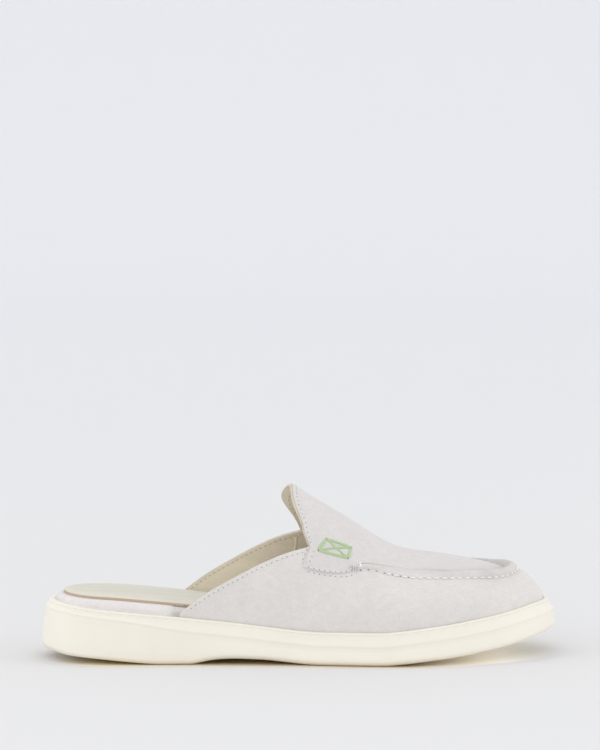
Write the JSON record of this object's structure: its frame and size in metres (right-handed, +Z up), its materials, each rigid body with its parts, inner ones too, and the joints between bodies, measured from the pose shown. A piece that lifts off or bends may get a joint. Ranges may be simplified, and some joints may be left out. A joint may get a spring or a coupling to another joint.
{
  "type": "mule loafer",
  "caption": "Backless slip-on loafer for the right foot, with a closed toe, raised moccasin seam, tall tongue and thick moulded sole.",
  "frame": {"origin": "on the floor, under the middle of the shoe's bounding box", "axes": "+X from the heel to the toe, +Y towards the inner side of the foot, +Z up"},
  "size_m": [0.26, 0.0948, 0.0861],
  "materials": {
    "outsole": "cream, matte, moulded",
    "midsole": "pale grey suede wrap",
    "insole": "smooth beige lining leather",
    "upper": "pale grey suede"
  },
  "bodies": {
    "root": {"outsole": "outsole", "midsole": "midsole", "insole": "insole", "upper": "upper"}
  },
  "joints": []
}
